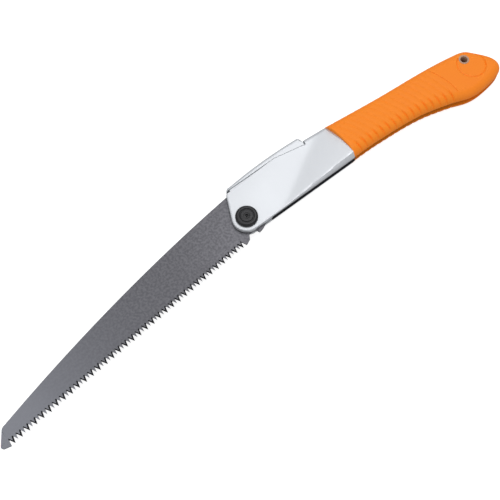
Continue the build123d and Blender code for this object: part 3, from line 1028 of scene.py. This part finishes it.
# ---------------------------------------------------------------- saw blade
@dataclass
class SawBlade:
    """Open blade with teeth ground on alternate sides."""

    half_thickness: float = 0.65
    pitches: int = 70
    heel: Point2 = (-13.8, -18.1)
    toe: Point2 = (-247.6, -38.0)
    depth: float = 4.4
    heel_side: float = 0.50
    toe_side: float = 0.68
    short: float = 0.7
    face_facet: float = 1.05
    back_facet: float = 0.75
    arm_reach: float = 5.7
    gullet_half: float = 0.22
    keen: float = 0.12
    spine_chamfer: float = 0.25
    bore: float = 5.05

    def __post_init__(self) -> None:
        """Set up the tooth line's own axes."""
        run = np.array(self.toe) - np.array(self.heel)
        self.pitch = float(np.linalg.norm(run)) / self.pitches
        self.along = run / np.linalg.norm(run)
        self.inward = np.array([self.along[1], -self.along[0]])

    def at(self, u: float, v: float) -> Point2:
        """Point at u along the tooth line and v into the blade."""
        return tuple(np.array(self.heel) + self.along * u + self.inward * v)

    def body_line(self) -> Array:
        """Border of the blade from the toe round the spine and tang to the heel.

        Returns:
            Points from the toe tip to the heel tip, both left out.
        """
        runs = [
            np.array([(-252.6, -36.9)]),
            arc_through((-252.6, -36.9), (-254.1, -35.9), (-254.3, -33.6)),
            arc_through((-247.9, -24.2), (-246.4, -22.6), (-243.6, -21.6)),
            arc_through((-243.6, -21.6), (-119.6, 7.5), (1.6, 25.9), 2.0),
            np.array([(1.0, 22.5)]),
            arc_through(polar(15.8, 96.0), (0.31, 15.8), (2.27, 15.64)),
            arc_through((2.53, 13.87), (5.33, 13.05), (7.9, 11.68)),
            arc_through((7.58, 13.86), (15.43, -3.4), (1.05, -15.77)),
            np.array([(-0.24, -11.89), (-6.6, -12.1), (-9.0, -15.9)]),
        ]
        return joined(*runs)

    def build(self, workshop: Workshop) -> bpy.types.Object:
        """Build the blade, its facets in their own finish.

        Args:
            workshop: Dresses and mounts the piece.

        Returns:
            The blade.
        """
        h = self.half_thickness
        low = -h + self.keen
        border: list[Point2] = []
        lift: dict[Point2, tuple[float, float]] = {}
        creases: list[Array] = []
        facets: dict[Side, list[list[Point2]]] = {Side.NEAR: [], Side.FAR: []}

        def put(point: Point2, near: float = h, far: float = h) -> Point2:
            """Note a point's two face heights."""
            lift[point] = (near, far)
            return point

        blunt = (0, self.pitches)
        for i in range(self.pitches + 1):
            ground = Side.NEAR if i % 2 else Side.FAR
            dark_reach = (self.heel_side, self.toe_side)
            pale_reach = (1 - self.toe_side, 1 - self.heel_side)
            before, after = dark_reach if i % 2 else pale_reach
            tip_u = i * self.pitch
            tip_v = 0.0 if i % 2 or i in blunt else self.short
            if i in blunt:
                ends = [-1] if i else [1]
            else:
                ends = [-1, 1]
            keen = {Side.NEAR: (low, h), Side.FAR: (h, low)}[ground] if i not in blunt else (h, h)
            tip = put(self.at(tip_u, tip_v), *keen)
            slopes = {
                -1: before * self.pitch - self.gullet_half,
                1: after * self.pitch - self.gullet_half,
            }
            base = {s: put(self.at(tip_u + s * slopes[s], self.depth), *keen) for s in ends}
            border += [p for p in (base.get(-1), tip, base.get(1)) if p is not None]
            if i in blunt:
                continue
            rate = {s: slopes[s] / (self.depth - tip_v) for s in ends}
            reach = {-1: self.face_facet, 1: self.back_facet}
            shift = {s: reach[s] * math.hypot(1, rate[s]) for s in ends}
            apex_v = tip_v + (shift[-1] + shift[1]) / (rate[-1] + rate[1])
            apex = put(self.at(tip_u - rate[-1] * (apex_v - tip_v) + shift[-1], apex_v))
            creases.append(np.array([tip, apex]))
            for s in ends:
                end_v = self.arm_reach
                run_u = tip_u + s * rate[s] * (end_v - tip_v)
                inner = put(self.at(run_u - s * shift[s], end_v))
                outer = put(self.at(run_u - s * 0.3, end_v))
                creases.append(np.array([apex, inner, outer, base[s]]))
                facets[ground].append([tip, base[s], outer, inner, apex])

        body = self.body_line()
        loop = np.vstack([np.array(border), body])
        for point in body:
            lift[tuple(point)] = (h - self.spine_chamfer, h - self.spine_chamfer)
        bore = circle((0, 0), self.bore)
        wound = counter_clockwise(loop)
        ring = inset(wound, self.spine_chamfer)
        at_body = np.array([lift[tuple(p)][0] == h - self.spine_chamfer for p in wound])
        gap = nearest_on(np.vstack([wound, wound[:1]]), ring)[0]
        ring = ring[at_body & (gap > 0.8 * self.spine_chamfer)]
        fill = triangulate([wound, bore], ring, creases)
        near = np.full(len(fill.points), h)
        far = np.full(len(fill.points), h)
        given = np.vstack([wound, bore, ring, *creases])
        for row, point in enumerate(given):
            if tuple(point) in lift:
                near[fill.place[row]], far[fill.place[row]] = lift[tuple(point)]
        piece = two_sided("saw_plate", fill, MID_Z + near, MID_Z - far, [wound, bore])
        piece.data.materials.append(workshop.materials[Slot.BLADE])
        piece.data.materials.append(workshop.materials["ground_facet"])
        number = {tuple(p): fill.place[row] for row, p in enumerate(given)}
        count = len(fill.triangles)
        for side, offset in ((Side.NEAR, 0), (Side.FAR, count)):
            owners: dict[int, set[int]] = {}
            for k, facet in enumerate(facets[side]):
                for point in facet:
                    owners.setdefault(int(number[point]), set()).add(k)
            for t, triangle in enumerate(fill.triangles):
                shared = set.intersection(*(owners.get(int(v), set()) for v in triangle))
                if shared:
                    piece.data.polygons[offset + t].material_index = 1
        return workshop.fit(piece, Body.BLADE, Slot.BLADE, "saw_blade", sharp=12.0)


# ---------------------------------------------------------------- cast handle
@dataclass
class CastHandle:
    """Cast body: forked ears, flared cheeks and the core inside the grip."""

    ear_half: float = 4.7
    slot_half: float = 1.2
    channel_half: float = 2.9
    ear_radius: float = 12.3
    lean_deg: float = 25.8
    seat_y: float = 28.1
    end_arc: tuple[Point2, Point2, Point2] = ((104.9, -12.3), (105.9, 5.0), (103.0, 24.0))
    core_start: float = 99.5
    flare_start: Point2 = (35.5, -8.0)
    flare_deg: float = 29.6
    flare_slope: float = 0.125
    lip_half: float = 4.8
    lip_slope: float = 1.4
    core_half: float = 5.2
    core_end: float = 222.0
    channel_start: float = 17.0
    fork_end: float = 54.5
    front_y: float = 26.2
    rear_y: float = 25.4
    top_front: Point2 = (81.4, 27.2)

    @property
    def lip_y(self) -> float:
        """Height of the lower lip."""
        return -self.ear_radius

    def __post_init__(self) -> None:
        """Find the circle that the joint with the grip follows."""
        a, b, c = (np.array(p) for p in self.end_arc)
        lhs = 2 * np.array([b - a, c - a])
        self.end_centre = np.linalg.solve(lhs, np.array([b @ b - a @ a, c @ c - a @ a]))
        self.end_radius = float(np.linalg.norm(a - self.end_centre))

    def end_point(self, y: float) -> Point2:
        """Point at a height on the curved joint with the grip."""
        reach = math.sqrt(self.end_radius**2 - (y - self.end_centre[1]) ** 2)
        return (float(self.end_centre[0]) + reach, y)

    def core(self) -> Array:
        """Corners of the core that runs on inside the grip."""
        return np.array(
            [
                (self.core_start, 20.0), (self.core_end, 8.5), (self.core_end, -21.5),
                (200.0, -16.5), (165.0, -9.5), (self.core_start, -7.5),
            ]
        )

    def half(self, points: Array) -> Array:
        """Half thickness of the cheeks before their rims are rounded."""
        turn = math.radians(self.flare_deg)
        x, y = points[:, 0] - self.flare_start[0], points[:, 1] - self.flare_start[1]
        out = x * math.sin(turn) - y * math.cos(turn)
        flare = self.ear_half + self.flare_slope * soft_rise(out, 2.5)
        lip = self.lip_half + self.lip_slope * (points[:, 1] - self.lip_y)
        return soft_low(flare, lip, 0.25)

    def build(self, workshop: Workshop) -> bpy.types.Object:
        """Build the casting.

        Args:
            workshop: Dresses and mounts the piece.

        Returns:
            The casting.
        """
        lean = math.radians(self.lean_deg)
        tangent = (-self.ear_radius * math.cos(lean), self.ear_radius * math.sin(lean))
        front_top = (tangent[0] + (self.front_y - tangent[1]) * math.tan(lean), self.front_y)
        ear = arc_through(tangent, polar(self.ear_radius, 212), (0, self.lip_y))
        front = np.array([front_top, tangent])
        lip = np.array([(0, self.lip_y), self.end_point(self.lip_y)])
        rear = self.end_point(self.rear_y)
        end = arc_through(self.end_point(self.lip_y), self.end_point(self.end_arc[1][1]), rear)
        top = np.array([rear, self.top_front])
        seat = np.array(
            [self.top_front, (80.2, 22.4), (51.0, self.seat_y), (44.0, self.seat_y), front_top]
        )
        outline = joined(lip, end, top, seat, front, ear)
        rims = [
            Rim(np.vstack([front, ear]), 0.9),
            Rim(lip, 0.5),
            Rim(top, 3.0),
            Rim(seat, 0.12),
        ]
        piece = ReliefPlate("cast_frame", outline, self.half, rims, step=1.1, band=0.9).build()
        tongue = np.array([(3.9, 22.0), (3.9, 28.4), (44.0, 29.3), (46.0, 22.0)])
        tongue_half = 3.3
        combine(
            piece,
            Cut.JOIN,
            prism("core", self.core(), MID_Z - self.core_half, MID_Z + self.core_half),
            prism("tongue", tongue, MID_Z - tongue_half, MID_Z + tongue_half),
        )
        start, stop = self.channel_start, self.core_end + 1
        channel = [(start, -40), (start, roof_y(start)), (stop, roof_y(stop)), (stop, -40)]
        fork = [
            (-30, -30), (start + 0.5, -30), (start + 0.5, roof_y(start)),
            (self.fork_end, roof_y(self.fork_end) - 0.5), (self.fork_end, 40), (-30, 40),
        ]
        combine(
            piece,
            Cut.TAKE_AWAY,
            prism("channel", np.array(channel), MID_Z - self.channel_half, MID_Z + self.channel_half),
            prism("fork", np.array(fork), MID_Z - self.slot_half, MID_Z + self.slot_half),
            prism("shank_hole", circle((0, 0), 3.55), MID_Z, MID_Z + 20),
            prism("barrel_hole", circle((0, 0), 4.45), MID_Z - 20, MID_Z),
            prism("pin_hole", circle((42.0, 20.5), 1.8, 48), MID_Z - 20, MID_Z + self.ear_half - 1.2),
            self._spring_pocket(),
        )
        return workshop.fit(piece, Body.HANDLE, Slot.ALLOY, "handle_frame", sharp=32.0)

    @staticmethod
    def _spring_pocket() -> bpy.types.Object:
        """Blind hole for the lever spring, square to the seat."""
        pocket = turned("spring_pocket", np.array([(0, 0), (2.65, 0), (2.65, 25), (0, 25)]), count=48)
        pocket.data.transform(
            Matrix.Translation(Vector((66.0, 15.6, MID_Z)) * MM) @ Matrix.Rotation(-math.pi / 2, 4, "X")
        )
        return pocket


FOLD_DEG = 168.5
ROOF_GAP = 3.6


def roof_y(x: float) -> float:
    """Height of the channel's roof: the closed blade's tooth line plus a gap."""
    heel, toe = rotated((-13.8, -18.1), FOLD_DEG), rotated((-247.6, -38.0), FOLD_DEG)
    slope = (toe[1] - heel[1]) / (toe[0] - heel[0])
    return heel[1] + (x - heel[0]) * slope + ROOF_GAP


# ---------------------------------------------------------------- lever lock
@dataclass
class LeverLock:
    """Thumb lever along the spine, over its pawl."""

    half: float = 4.6
    floor_y: float = 28.4

    def build(self, workshop: Workshop) -> bpy.types.Object:
        """Build the lever; its pawl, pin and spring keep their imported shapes.

        Args:
            workshop: Dresses and mounts the pieces.

        Returns:
            The lever.
        """
        crest = arc_through((5.5, 30.6), (40.0, 32.69), (76.5, 31.88), 1.5)
        rear = arc_through((76.5, 31.88), (79.2, 30.9), (79.8, 28.6), 0.4)
        under = np.array([(79.8, 28.6), (79.3, 22.9), (51.0, self.floor_y), (1.1, self.floor_y)])
        nose = arc_through((1.1, self.floor_y), (2.0, 29.8), (5.5, 30.6), 0.4)
        rims = [Rim(np.vstack([nose, crest[1:], rear[1:]]), 2.3), Rim(under, 0.12)]
        plate = ReliefPlate(
            "thumb_lever",
            joined(crest, rear, under, nose),
            lambda p: np.full(len(p), self.half),
            rims,
            step=0.8,
            band=1.6,
        )
        piece = plate.build()
        slot = np.array([(3.0, 24.6), (53.0, 24.6), (53.0, 29.6), (3.0, 29.6)])
        hollow = np.array([(3.5, 25.0), (47.0, 25.0), (47.0, 31.0), (12.0, 30.6), (3.5, 29.2)])
        hollow_half = 3.5
        combine(
            piece,
            Cut.TAKE_AWAY,
            prism("pawl_slot", slot, MID_Z - 1.05, MID_Z + 1.05),
            prism("hollow", hollow, MID_Z - hollow_half, MID_Z + hollow_half),
        )
        workshop.dress("lock_pawl", Slot.PAWL)
        workshop.dress("lever_pin", Slot.PIN)
        workshop.dress("lever_spring", Slot.SPRING)
        return workshop.fit(piece, Body.LEVER, Slot.ALLOY, "lock_lever", sharp=32.0)


# ---------------------------------------------------------------- pivot
@dataclass
class Pivot:
    """Bolt, nut and the rings that clamp the blade between the ears."""

    head_radius: float = 9.3
    head_low: float = 12.2
    head_high: float = 15.0
    socket_radius: float = 1.7
    nut_radius: float = 8.2

    def build(self, workshop: Workshop) -> list[bpy.types.Object]:
        """Build the bolt and nut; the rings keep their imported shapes.

        Args:
            workshop: Dresses and mounts the pieces.

        Returns:
            The bolt and the nut.
        """
        for node, slot in (
            ("pivot_bushing", Slot.BUSH),
            ("near_washer", Slot.BRONZE),
            ("far_washer", Slot.BRONZE),
            ("spring_washer", Slot.SPRING),
        ):
            workshop.dress(node, slot)
        return [
            workshop.fit(self._bolt(), Body.HANDLE, Slot.BLACK, "pivot_bolt", sharp=45.0),
            workshop.fit(self._nut(), Body.HANDLE, Slot.BLACK, "pivot_nut", sharp=45.0),
        ]

    def _bolt(self) -> bpy.types.Object:
        """Domed head with a ring groove, a hexagon socket and a centre pip.

        Returns:
            The bolt.
        """
        top = self.head_high
        section = rounded_profile(
            [
                (0.0, 1.6, 0), (2.6, 1.6, 0.3), (2.6, 6.2, 0), (3.5, 6.2, 0), (3.5, self.head_low, 0),
                (self.head_radius, self.head_low, 0.15), (self.head_radius, top - 1.0, 0.6),
                (self.head_radius - 1.3, top, 0.5), (6.4, top, 0.25), (6.2, top - 0.7, 0.15),
                (5.5, top - 0.7, 0.15), (5.2, top - 0.1, 0.25), (2.6, top - 0.1, 0.2),
                (2.2, top - 0.45, 0.1), (0.0, top - 0.45, 0),
            ]
        )
        piece = turned("bolt_head", section)
        socket = circle((0, 0), self.socket_radius, 6)
        combine(piece, Cut.TAKE_AWAY, prism("socket", socket, top - 1.9, top + 1))
        pip_radius = 0.6
        pip = rounded_profile(
            [
                (0.0, top - 2.1, 0), (pip_radius, top - 2.1, 0),
                (pip_radius, top - 0.9, 0.25), (0.0, top - 0.8, 0),
            ]
        )
        return combine(piece, Cut.JOIN, turned("pip", pip, count=32))

    def _nut(self) -> bpy.types.Object:
        """Flanged sleeve nut with two spanner holes.

        Returns:
            The nut.
        """
        section = rounded_profile(
            [
                (0.0, 5.9, 0), (4.4, 5.9, 0.3), (4.4, 2.2, 0), (self.nut_radius, 2.2, 0.2),
                (self.nut_radius, 0.9, 0.5), (self.nut_radius - 0.9, 0.0, 0.4), (0.0, 0.0, 0),
            ]
        )
        piece = turned("sleeve_nut", section)
        for x in (-5.6, 5.6):
            combine(piece, Cut.TAKE_AWAY, prism("spanner_hole", circle((x, 0), 1.1, 32), -1, 1.2))
        return combine(piece, Cut.TAKE_AWAY, prism("thread", circle((0, 0), 2.65), 1.0, 8))


# ---------------------------------------------------------------- grip and butt
@dataclass
class GripAndButt:
    """Ribbed rubber grip, smooth butt behind its seam, and the hang hole."""

    half: float = 10.2
    rounding: float = 7.2
    ribs: int = 17
    belly_depth: float = 1.7
    sweep_depth: float = 0.42
    seam: tuple[Point2, Point2, Point2] = ((199.5, 22.0), (213.2, -6.0), (210.6, -34.0))
    badge: Point2 = (241.9, -7.2)
    badge_radius: float = 13.2
    hang: Point2 = (240.2, 0.4)
    frame_end: CastHandle = field(default_factory=CastHandle)
    back: tuple[Point2, ...] = ((131.0, 21.8), (163.0, 18.7), (196.0, 16.3), (218.0, 14.1))
    butt: tuple[Point2, ...] = (
        (237.6, 11.2), (248.9, 7.5), (253.6, 2.4), (259.1, -4.6), (263.3, -11.8), (264.4, -17.2),
        (262.6, -22.9), (256.6, -26.8), (244.0, -29.4),
    )
    belly: tuple[Point2, ...] = (
        (231.0, -30.3), (219.6, -28.8), (209.5, -25.1), (197.7, -21.4), (183.3, -17.6),
        (164.0, -14.5), (142.0, -12.8), (122.0, -11.9),
    )

    def __post_init__(self) -> None:
        """Trace the handle's border, its front joint and its seam."""
        end = self.frame_end.end_point
        points = [end(24.8), *self.back, *self.butt, *self.belly, end(-11.9)]
        line = smooth_curve(points)
        middle = np.array([190.0, 0.0])
        self.line = line + (middle - line) / np.linalg.norm(middle - line, axis=1)[:, None] * 0.03
        self.front = arc_through(tuple(self.line[-1]), end(5.0), tuple(self.line[0]))
        a, b, c = (np.array(p) for p in self.seam)
        lhs = 2 * np.array([b - a, c - a])
        self.seam_centre = np.linalg.solve(lhs, np.array([b @ b - a @ a, c @ c - a @ a]))
        self.seam_radius = float(np.linalg.norm(a - self.seam_centre))
        self.rib_pitch = (self.seam[1][0] - 1.5 - self.frame_end.end_arc[0][0]) / self.ribs

    def seam_x(self, y: Array) -> Array:
        """Where the seam's arc stands at a height."""
        reach = np.sqrt(np.maximum(self.seam_radius**2 - (y - self.seam_centre[1]) ** 2, 1.0))
        return self.seam_centre[0] + reach

    def groove(self, points: Array) -> Array:
        """Depth of the swept grooves between the ribs, mm."""
        phase = (points[:, 0] - self.seam_x(points[:, 1])) / self.rib_pitch
        wave = 0.5 + 0.5 * np.cos(math.tau * phase)
        cut = 0.20 * wave + 0.80 * wave**9
        belly = self.line[(self.line[:, 1] < -11.4) & (self.line[:, 0] < 250.0)]
        distance = nearest_on(belly, points)[0]
        depth = self.sweep_depth + (self.belly_depth - self.sweep_depth) * (1 - fade(distance, 4.5, 12.0))
        depth *= fade(-phase, 0.25, 0.7)
        depth *= fade(points[:, 0], self.frame_end.end_arc[1][0] + 1.0, self.frame_end.end_arc[1][0] + 3.5)
        return cut * depth

    def _split(self) -> tuple[Array, Array, Array]:
        """Divide the border at the seam.

        Returns:
            The grip's loop, the butt's loop, and the seam.
        """
        ahead = self.line[:, 0] < self.seam_x(self.line[:, 1])
        first, last = int(np.argmin(ahead)), len(ahead) - int(np.argmin(ahead[::-1]))
        seam = arc_through(*self.seam)
        seam = seam[inside(self.line, seam)]
        grip = joined(self.line[:first], seam, self.line[last:], self.front)
        butt = joined(self.line[first:last], seam[::-1])
        return grip, butt, seam

    def build(self, workshop: Workshop) -> list[bpy.types.Object]:
        """Build the grip, the butt and the eyelet.

        Args:
            workshop: Dresses and mounts the pieces.

        Returns:
            The three pieces.
        """
        grip, butt, seam = self._split()
        border = Rim(self.line, self.rounding)
        front = Rim(self.front, 0.8)
        edge = Rim(seam, 0.6)
        sleeve = ReliefPlate(
            "grip_skin", grip, lambda p: self.half - self.groove(p), [border, front, edge],
            step=0.62, band=1.2,
        ).build()
        cap = ReliefPlate(
            "butt_cap_skin", butt, self._butt_half, [border, edge],
            holes=[circle(self.hang, 3.75, 72)], step=0.8, band=1.2,
        ).build()
        self._hollow(sleeve)
        self._hollow(cap)
        workshop.dress("channel_liner", Slot.LINER)
        return [
            workshop.fit(sleeve, Body.HANDLE, Slot.GRIP, "grip_sleeve"),
            workshop.fit(cap, Body.HANDLE, Slot.GRIP, "butt_cap"),
            workshop.fit(self._eyelet(), Body.HANDLE, Slot.EYELET, "hang_eyelet"),
        ]

    def _butt_half(self, points: Array) -> Array:
        """Half thickness of the butt, with its round recess."""
        reach = np.linalg.norm(points - np.array(self.badge), axis=1)
        recess = 0.6 * (1 - fade(reach, self.badge_radius - 0.5, self.badge_radius))
        line = 0.5 * np.exp(-(((reach - self.badge_radius + 0.5) / 0.4) ** 2))
        return self.half - recess - line

    def _hollow(self, piece: bpy.types.Object) -> None:
        """Cut the blade channel and the casting's core out of a piece."""
        f = self.frame_end
        start, stop = f.core_start - 6.0, 259.5
        channel = [(start, -45), (start, roof_y(start)), (stop, roof_y(stop)), (stop, -45)]
        combine(
            piece,
            Cut.TAKE_AWAY,
            prism("channel", np.array(channel), MID_Z - f.channel_half, MID_Z + f.channel_half),
            prism("core", f.core(), MID_Z - f.core_half, MID_Z + f.core_half),
        )

    def _eyelet(self) -> bpy.types.Object:
        """Sleeve through the hang hole, with a rolled flange at each end.

        Returns:
            The eyelet.
        """
        top, step, lip = self.half - 0.2, self.half - 0.6, 0.25
        half = [
            (3.0, top - 0.6, 0), (3.15, top, lip), (4.6, top, lip), (4.6, step, 0.1), (3.7, step, 0),
        ]
        upper = rounded_profile(half)
        lower = upper[::-1] * np.array([1, -1])
        section = np.vstack([upper, lower]) + np.array([0, MID_Z])
        return turned("hang_sleeve", section, self.hang, 72, ring=True)


# ---------------------------------------------------------------- studio
@dataclass(frozen=True)
class SoftBox:
    """Square area light aimed at a target, in metres."""

    name: str
    place: tuple[float, float, float]
    target: tuple[float, float, float]
    size: float
    watts: float
    colour: Colour = (1.0, 1.0, 1.0)


@dataclass
class Studio:
    """Camera, pale floor and soft lights."""

    camera_at: tuple[float, float, float] = (-0.1722, -0.2248, 0.6317)
    swing_deg: float = 38.0
    tilt_deg: float = 22.3
    lens: float = 60.53
    floor_z: float = -0.00275
    lights: tuple[SoftBox, ...] = (
        SoftBox("key_box", (0.42, 0.24, 1.05), (0.05, 0.0, 0.0), 0.6, 3.3),
        SoftBox("tip_box", (-0.55, 0.20, 0.90), (-0.15, 0.0, 0.0), 0.6, 1.4),
        SoftBox("belly_box", (0.15, -0.80, 0.45), (0.0, 0.0, 0.0), 0.7, 0.7),
    )

    def build(self) -> None:
        """Set up the whole studio."""
        self._camera()
        self._world()
        self._floor()
        for light in self.lights:
            self._light(light)
        bpy.context.scene.view_settings.view_transform = "Standard"

    def _camera(self) -> None:
        """Place the camera and make it the scene's."""
        swing, tilt = math.radians(self.swing_deg), math.radians(self.tilt_deg)
        right = Vector((math.cos(swing), -math.sin(swing), 0))
        up = Vector((math.sin(swing) * math.cos(tilt), math.cos(swing) * math.cos(tilt), math.sin(tilt)))
        back = right.cross(up)
        lens = bpy.data.cameras.new("camera")
        lens.lens = self.lens
        lens.sensor_width = 36.0
        lens.clip_start = 0.01
        camera = bpy.data.objects.new("camera", lens)
        turn = Matrix((right, up, back)).transposed().to_4x4()
        camera.matrix_world = Matrix.Translation(self.camera_at) @ turn
        bpy.context.scene.collection.objects.link(camera)
        bpy.context.scene.camera = camera

    def _world(self) -> None:
        """Even white surroundings."""
        world = bpy.data.worlds.new("studio")
        world.use_nodes = True
        shade_node = world.node_tree.nodes["Background"]
        shade_node.inputs["Color"].default_value = (0.97, 0.985, 1.0, 1.0)
        shade_node.inputs["Strength"].default_value = 0.62
        bpy.context.scene.world = world

    def _floor(self) -> None:
        """Pale floor just under the saw."""
        reach, count = 3.0, 12
        spots = np.linspace(-reach, reach, count + 1)
        vertices = np.array([(x, y, self.floor_z) for y in spots for x in spots]) / MM
        row = count + 1
        faces = [
            (i * row + j, i * row + j + 1, (i + 1) * row + j + 1, (i + 1) * row + j)
            for i in range(count)
            for j in range(count)
        ]
        floor = mesh_object("floor", vertices, faces)
        made = bpy.data.materials.new("floor_paper")
        made.use_nodes = True
        shader = made.node_tree.nodes["Principled BSDF"]
        shader.inputs["Base Color"].default_value = (0.55, 0.55, 0.55, 1.0)
        shader.inputs["Roughness"].default_value = 0.9
        shader.inputs["Specular IOR Level"].default_value = 0.1
        shader.inputs["Emission Color"].default_value = (1.0, 1.0, 1.0, 1.0)
        g = Graph(made.node_tree)
        seen = g.node("ShaderNodeLightPath").outputs["Is Camera Ray"]
        g.feed(shader.inputs["Emission Strength"], g.maths("MULTIPLY", seen, 0.8))
        floor.data.materials.append(made)

    @staticmethod
    def _light(box: SoftBox) -> None:
        """Hang one area light."""
        lamp = bpy.data.lights.new(box.name, "AREA")
        lamp.size = box.size
        lamp.energy = box.watts
        lamp.color = box.colour
        holder = bpy.data.objects.new(box.name, lamp)
        holder.location = box.place
        aim = Vector(box.target) - Vector(box.place)
        holder.rotation_euler = aim.to_track_quat("-Z", "Y").to_euler()
        bpy.context.scene.collection.objects.link(holder)


def main() -> None:
    """Build the saw and its studio."""
    logging.basicConfig(level=logging.INFO, format="%(message)s")
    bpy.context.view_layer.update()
    Studio().build()
    workshop = Workshop()
    SawBlade().build(workshop)
    CastHandle().build(workshop)
    LeverLock().build(workshop)
    Pivot().build(workshop)
    GripAndButt().build(workshop)


if __name__ == "__main__":
    main()
